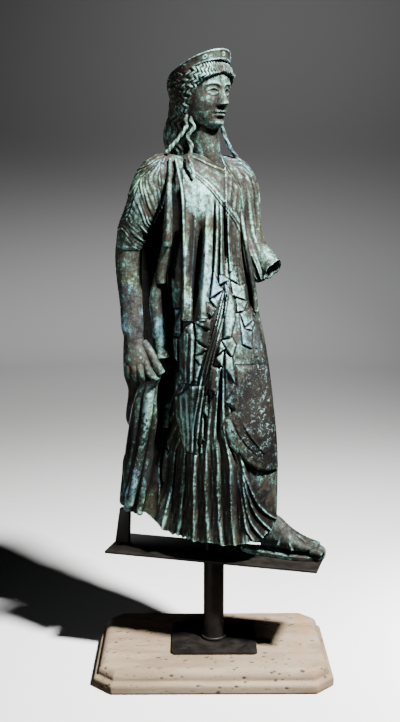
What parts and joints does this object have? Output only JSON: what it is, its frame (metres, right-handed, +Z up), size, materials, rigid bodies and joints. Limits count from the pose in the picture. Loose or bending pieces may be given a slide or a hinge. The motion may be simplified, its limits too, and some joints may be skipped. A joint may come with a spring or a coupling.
{
  "type": "bronze statuette of a striding goddess on a steel and stone stand",
  "caption": "Draped, striding goddess in green-patinated bronze with a diadem, a broken forearm and one sandalled foot, held on a black steel post over a travertine base.",
  "frame": {"origin": "centre of the stone base's underside", "axes": "+Z up, +X to the right along the base's long side, -Y towards the side the figure is seen from"},
  "size_m": [0.434, 0.29, 1.1206],
  "materials": {
    "bronze": "green and brown patina, matt with worn edges",
    "black_steel": "blackened, satin",
    "travertine": "honed, open pores"
  },
  "bodies": {
    "root": {"goddess_figure": "bronze", "rear_prop": "black_steel", "hem_pin": "black_steel", "support_plate": "black_steel", "post": "black_steel", "post_collar": "black_steel", "flange_plate": "black_steel", "flange_screw_1": "black_steel", "flange_screw_2": "black_steel", "flange_screw_3": "black_steel", "flange_screw_4": "black_steel", "travertine_base": "travertine"}
  },
  "joints": []
}
